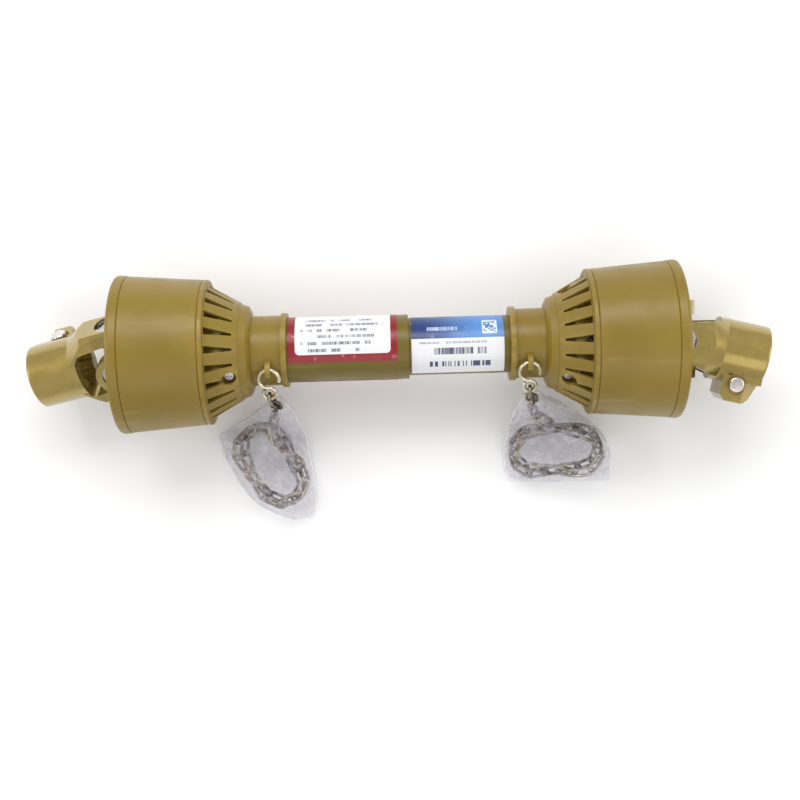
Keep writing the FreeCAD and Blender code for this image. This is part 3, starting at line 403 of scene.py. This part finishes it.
# %% Sticker with a blue band
def band_sticker():
    finish, shader = new_finish("blue_band_sticker", Specular_IOR_Level=0.5)
    along, across = tube_measures(finish, "slim_guard_tube")
    fade = eased(finish, along, 14.0, 70.0)
    band = mixed(finish, fade, (0.012, 0.035, 0.16), (0.10, 0.26, 0.62))
    name_bar = word_bars(finish, along, across, 22.0, 54.0, -14.6, 1, 6.0, 3.4, 2.7)
    band = mixed(finish, calc(finish, "MULTIPLY", name_bar, 0.75), band, (0.62, 0.70, 0.86))
    square = panel(finish, along, across, (71.0, -14.4), (5.8, 6.6), 0.6)
    cell = [calc(finish, "FLOOR", calc(finish, "DIVIDE", value, 1.25)) for value in (along, across)]
    inner = panel(finish, along, across, (71.0, -14.4), (4.8, 5.4), 0.2)
    filled = calc(finish, "GREATER_THAN", chance_at(finish, *cell), 0.5)
    cells = calc(finish, "MULTIPLY", filled, inner)
    band = mixed(finish, square, band, (0.66, 0.74, 0.86))
    band = mixed(finish, cells, band, (0.10, 0.22, 0.45))
    paper = calc(finish, "GREATER_THAN", across, -4.7)
    colour = mixed(finish, paper, band, PAPER)
    small = word_bars(finish, along, across, 16.0, 80.0, -2.2, 1, 4.0, 1.7, 4.6)
    heavy = word_bars(finish, along, across, 24.0, 78.0, 2.6, 1, 8.0, 5.2, 3.4)
    stripe = put(finish, "ShaderNodeTexWhiteNoise", {"noise_dimensions": "1D"})
    step = calc(finish, "FLOOR", calc(finish, "DIVIDE", along, 0.8))
    finish.node_tree.links.new(step, stripe.inputs["W"])
    dark = calc(finish, "GREATER_THAN", stripe.outputs[0], 0.45)
    bars = calc(finish, "MULTIPLY", dark, between(finish, across, 13.6, 18.8))
    bars = calc(finish, "MULTIPLY", bars, between(finish, along, 24.0, 72.0))
    shade = mixed(finish, calc(finish, "MULTIPLY", small, 0.8), colour, (0.25, 0.27, 0.34))
    colour = mixed(finish, calc(finish, "MAXIMUM", heavy, bars), shade, (0.075, 0.09, 0.16))
    return printed_film(finish, shader, colour, "slim_guard_tube")


BAND_STICKER = band_sticker()
print("stickers made")

# %% [markdown]
# Each measured part now gets its finish. The two ends of the shaft are alike, so a table of name
# endings covers both, and the few single parts are named in full.

# %% Give the measured parts their finishes
FINISH_OF = {
    "guard_bell": GUARD_PLASTIC,
    "guard_cone": GUARD_PLASTIC,
    "guard_bearing": NYLON,
    "guard_screws": ZINC,
    "tube_yoke": YOKE_COAT,
    "end_yoke": YOKE_COAT,
    "roll_pin": SPRING_STEEL,
    "pin_spring": SPRING_STEEL,
    "tube_yoke_bearing_caps": GROUND_STEEL,
    "end_yoke_bearing_caps": GROUND_STEEL,
    "tube_yoke_circlips": ZINC,
    "end_yoke_circlips": ZINC,
    "cross": TUBE_STEEL,
    "grease_nipple": ZINC,
    "needle_rollers": PIN_STEEL,
    "trunnion_seals": RUBBER,
    "push_pin": PIN_STEEL,
    "chain_hook": HOOK_ZINC,
    "safety_chain": CHAIN_ZINC_AND_PAINTED_SHADE,
    "wide_guard_tube": TUBE_PLASTIC,
    "slim_guard_tube": TUBE_PLASTIC,
    "outer_drive_tube": TUBE_STEEL,
    "inner_drive_tube": TUBE_STEEL,
    "border_label": BORDER_STICKER,
    "band_label": BAND_STICKER,
}


def finish_for(name):
    """Finish of a part, found by its own name or by its name without the end's."""
    return FINISH_OF.get(name) or FINISH_OF.get(name.split("_", 1)[1])


painted = 0
for name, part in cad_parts.items():
    finish = finish_for(name)
    if finish:
        for place in part.material_slots:
            place.material = finish
        painted += 1
print("parts finished:", painted, "of", len(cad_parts))

# %% [markdown]
# The chain is sold in a clear film bag. Film has hardly any colour of its own: it is a thin lilac
# haze with sharp highlights, whiter where it is doubled. Its creases and welded seams are painted
# near white, partly for the real whitening of creased film and partly as a painted highlight along
# the folds. So its alpha is driven, and is higher on the welded seams and on the creases, which are
# stored with the mesh as it is made.

# %% Clear film
def clear_film():
    finish, shader = new_finish("clear_bag_film", Specular_IOR_Level=0.9)
    fold_whitening_and_glint = put(finish, "ShaderNodeAttribute", {"attribute_name": "crease"}).outputs["Fac"]
    haze = eased(finish, cloudy(finish, 90, 5, warp=1.2), 0.35, 0.7)
    colour = mixed(finish, haze, (0.70, 0.64, 0.80), (0.86, 0.82, 0.93))
    # Creases and seams turn near white: partly the real whitening of creased film, partly a painted
    # highlight along the folds.
    colour = mixed(finish, fold_whitening_and_glint, colour, (1.0, 0.99, 1.0))
    # Alpha rises on the folds too, so that the painted highlight there shows.
    folds = calc(finish, "MULTIPLY", fold_whitening_and_glint, 0.34)
    hidden = calc(finish, "ADD", calc(finish, "MULTIPLY", haze, 0.05), folds)
    rim = put(finish, "ShaderNodeLayerWeight", Blend=0.3).outputs["Facing"]
    hidden = calc(finish, "ADD", hidden, calc(finish, "MULTIPLY", rim, 0.14))
    hidden = calc(finish, "ADD", hidden, 0.015)
    dull = eased(finish, haze, 0, 1, 0.06, 0.2)
    relief = bumped(finish, cloudy(finish, 160, 4, warp=1.5), 0.0008, 0.6)
    drive(finish, shader, Base_Color=colour, Alpha=hidden, Roughness=dull, Normal=relief)
    return finish


FILM = clear_film()

# %% [markdown]
# A bag is two sheets of film welded along their edges. It hangs from the hook by one corner, so
# it is a gathered neck that opens into a flat pouch, which lies over the heap of chain like a
# tent. A cloth simulation would take minutes for film this stiff, so the drape is worked out: no
# point of the upper sheet may be lower than a cone standing on any point of the chain. Film folds
# along straight creases, so sloping triangle waves in chance directions crumple both sheets.

# %% Film bag helpers
LOWEST_FILM = 0.0007
FILM_THICK = 0.00012


def smooth_row(row, count):
    """Points of a smooth line through a short list of points."""
    row = np.array(row, float)
    spots = np.linspace(0, len(row) - 1, count)
    out = np.zeros((count, row.shape[1]))
    for n, spot in enumerate(spots):
        at = min(int(spot), len(row) - 2)
        part = spot - at
        before = row[max(at - 1, 0)]
        after = row[min(at + 2, len(row) - 1)]
        first, second = row[at], row[at + 1]
        bend = (2 * before - 5 * first + 4 * second - after) * part**2
        twist = (3 * first - before - 3 * second + after) * part**3
        out[n] = 0.5 * (2 * first + (second - before) * part + bend + twist)
    return out


def crumple(points, chance, waves, spacing):
    """Sum of triangle waves in chance directions, and how near each point is to a crease."""
    height = np.zeros(len(points))
    sharp = np.zeros(len(points))
    for _ in range(waves):
        way = chance.normal(size=3) * (1, 1, 0.6)
        way /= np.linalg.norm(way)
        phase = points @ way / (spacing * chance.uniform(0.7, 1.6)) + chance.uniform(0, 1)
        saw = np.abs((phase % 1) - 0.5) * 4 - 1
        height += saw / waves
        ridge = np.clip((np.abs(saw) - 0.86) / 0.14, 0, 1)
        sharp = np.maximum(sharp, ridge * chance.uniform(0.3, 1))
    return height * 1.6, sharp


def tent(points, chain_points, slope, gap):
    """Height of a film laid over the chain: the highest of the cones that stand on its points."""
    tree = kdtree.KDTree(len(chain_points))
    for n, spot in enumerate(chain_points):
        tree.insert((spot[0], spot[1], 0), n)
    tree.balance()
    heights = np.full(len(points), -1.0)
    for n, point in enumerate(points):
        for _, index, away in tree.find_range((point[0], point[1], 0), 0.014):
            fall = slope * max(away - 0.0008, 0)
            heights[n] = max(heights[n], chain_points[index][2] + gap - fall)
    return heights


# %% [markdown]
# Each bag is given by its two welded sides, from the neck to the far seam, as distances from the
# shaft's axis in millimetres, and by how thick it is there. The mesh is a ring of points at each
# step, half on the upper sheet and half on the lower one. It is then given a real thickness.
# Real film passes on nearly all the light, but a renderer's alpha only blocks it, and four walls
# of film would leave a grey patch on the floor. So the bags are set to cast no shadow.

# %% Build the bags
def film_bag(name, end, left_side, right_side, thickness, seed):
    """Pouch of film from its two welded sides and its half thickness along the way."""
    chance = np.random.default_rng(seed)
    steps, across = 110, 96
    left = smooth_row(left_side, steps)
    right = smooth_row(right_side, steps)
    half = smooth_row([[t] for t in thickness], steps)[:, 0]
    origin = np.array([AXIS_X, AXIS_Y, AXIS_Z])
    points, seam = [], []
    for n in range(steps):
        middle = (left[n] + right[n]) / 2
        reach = (right[n] - left[n]) / 2
        ahead = (left[min(n + 1, steps - 1)] + right[min(n + 1, steps - 1)]) / 2
        ahead = ahead - (left[max(n - 1, 0)] + right[max(n - 1, 0)]) / 2
        up = np.cross(reach, ahead)
        up /= np.linalg.norm(up)
        up = up if up[2] > 0 else -up
        for m in range(across):
            angle = 2 * math.pi * m / across
            wide = math.cos(angle)
            share = (1 - abs(wide) ** 3.2) ** 0.8
            tall = half[n] * share * (1 if math.sin(angle) >= 0 else -1)
            points.append((middle + reach * wide + up * tall) * MM + origin)
            seam.append(abs(wide))
    points, seam = np.array(points), np.array(seam)
    upper = np.array([0 <= m % across <= across // 2 for m in range(len(points))])
    lump, crease = crumple(points, chance, 7, 0.021)
    fine, fine_crease = crumple(points, chance, 5, 0.009)
    loose = np.clip(1.15 - seam**8, 0.25, 1)
    points[:, 2] += np.where(upper, 1, -0.35) * (0.0022 * lump + 0.0007 * fine) * loose
    points[:, 0] += 0.0011 * lump * (1 - seam**4)
    heap = [v.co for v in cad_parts[f"{end}_safety_chain"].data.vertices if v.co.z < 0.046]
    heap = np.array(heap)[:: max(1, len(heap) // 9000)]
    cover = tent(points, heap, 1.1, 0.0012)
    draped = np.where(upper, np.maximum(points[:, 2], cover), points[:, 2])
    points[:, 2] = np.maximum(draped, LOWEST_FILM)
    shape = bmesh.new()
    rings = [[shape.verts.new(points[n * across + m]) for m in range(across)] for n in range(steps)]
    for n in range(steps - 1):
        for m in range(across):
            k = (m + 1) % across
            shape.faces.new((rings[n][m], rings[n][k], rings[n + 1][k], rings[n + 1][m]))
    for m in range(across // 2):
        k = (m + 1) % across
        far = rings[-1]
        if m != 0 and k != across // 2:
            shape.faces.new((far[m], far[k], far[across - k], far[across - m]))
        elif m == 0:
            shape.faces.new((far[0], far[1], far[across - 1]))
        else:
            shape.faces.new((far[m], far[k], far[across - m]))
    bmesh.ops.recalc_face_normals(shape, faces=shape.faces)
    mesh = bpy.data.meshes.new(name)
    shape.to_mesh(mesh)
    shape.free()
    marks = mesh.attributes.new("crease", "FLOAT", "POINT")
    # These crease marks carry the film's near-white folds and seams, which are partly a painted
    # highlight.
    welded = np.clip((seam - 0.965) / 0.02, 0, 1) * 0.8
    folded = np.maximum.reduce([0.6 * crease, 0.4 * fine_crease, welded])
    marks.data.foreach_set("value", folded.astype(np.float32))
    pouch = bpy.data.objects.new(name, mesh)
    bpy.context.scene.collection.objects.link(pouch)
    mesh.materials.append(FILM)
    mesh.shade_smooth()
    wall = pouch.modifiers.new("film", "SOLIDIFY")
    wall.thickness = FILM_THICK
    wall.offset = 0
    pouch.visible_shadow = False
    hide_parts(f"{end}_chain_bag")
    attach(pouch, f"{end}_chain")
    print(name, "points:", len(mesh.vertices), "heap top:", round(heap[:, 2].max(), 4))
    return pouch


# %% [markdown]
# The tractor's bag hangs from its hook and falls away to one side, so it is a long wedge that ends
# in a corner. The implement's bag falls straight and spreads to a wide flat end. Both outlines
# could be drawn as curves, but a short list of points for each side is easier to read and change.

# %% Two bags
film_bag(
    "tractor_film_bag",
    "tractor",
    [
        (-105, -42, -3),
        (-111, -46, -17),
        (-124, -53, -36),
        (-150, -66, -54),
        (-149, -72, -57),
        (-142, -92, -59),
        (-122, -122, -59),
        (-90, -138.5, -59),
    ],
    [
        (-91, -42, -3),
        (-87, -47, -17),
        (-84, -55, -36),
        (-78, -70, -54),
        (-75, -84, -58),
        (-71, -108, -59),
        (-71, -124, -59),
        (-75, -138, -58),
    ],
    [7, 8, 10, 7, 7, 6, 4, 1],
    31,
)
film_bag(
    "implement_film_bag",
    "implement",
    [
        (98, -42, -3),
        (96, -47, -17),
        (92, -55, -36),
        (87, -72, -54),
        (84, -86, -59),
        (84.5, -100, -59),
        (89, -112, -59),
    ],
    [
        (112, -42, -3),
        (121, -47, -17),
        (138, -53, -36),
        (158, -66, -52),
        (170, -84, -58),
        (171, -101, -59),
        (172, -113, -59),
    ],
    [7, 8, 10, 8, 8, 6, 1],
    47,
)

# %% [markdown]
# A studio table is a pale floor under broad soft lamps. A large lamp behind and above gives the
# bells their long highlights, a weaker one in front fills the shadows, and two at the ends light
# the yokes. A pale sky does the rest.

# %% Floor, lamps and sky
def pale_floor():
    finish, shader = new_finish("pale_floor", Roughness=0.85)
    tint = mixed(finish, cloudy(finish, 3), (0.95, 0.95, 0.95), (0.98, 0.98, 0.98))
    drive(finish, shader, Base_Color=tint)
    mesh = bpy.data.meshes.new("floor")
    reach = 6.0
    corners = [(-reach, -reach, 0), (reach, -reach, 0), (reach, reach, 0), (-reach, reach, 0)]
    mesh.from_pydata(corners, [], [(0, 1, 2, 3)])
    floor = bpy.data.objects.new("floor", mesh)
    bpy.context.scene.collection.objects.link(floor)
    mesh.materials.append(finish)


def soft_lamp(name, place, watts, wide, long):
    """Broad lamp that points at the middle of the shaft, unseen by the camera."""
    data = bpy.data.lights.new(name, "AREA")
    data.shape = "RECTANGLE"
    data.size = wide
    data.size_y = long
    data.energy = watts
    lamp = bpy.data.objects.new(name, data)
    bpy.context.scene.collection.objects.link(lamp)
    lamp.location = place
    aim = Vector((AXIS_X, AXIS_Y, AXIS_Z)) - Vector(place)
    lamp.rotation_euler = aim.to_track_quat("-Z", "Y").to_euler()
    lamp.visible_camera = False


pale_floor()
soft_lamp("back_lamp", (-0.15, 0.95, 1.15), 11, 1.5, 0.6)
soft_lamp("front_lamp", (0.2, -0.9, 1.3), 4, 1.6, 0.8)
soft_lamp("tractor_end_lamp", (-1.2, 0.1, 0.7), 3, 0.6, 0.6)
soft_lamp("implement_end_lamp", (1.2, 0.1, 0.7), 3, 0.6, 0.6)

sky = bpy.data.worlds.new("studio")
sky.use_nodes = True
sky.node_tree.nodes["Background"].inputs["Color"].default_value = (1, 1, 1, 1)
sky.node_tree.nodes["Background"].inputs["Strength"].default_value = 0.62
bpy.context.scene.world = sky
bpy.context.scene.view_settings.view_transform = "Standard"
print("studio ready")
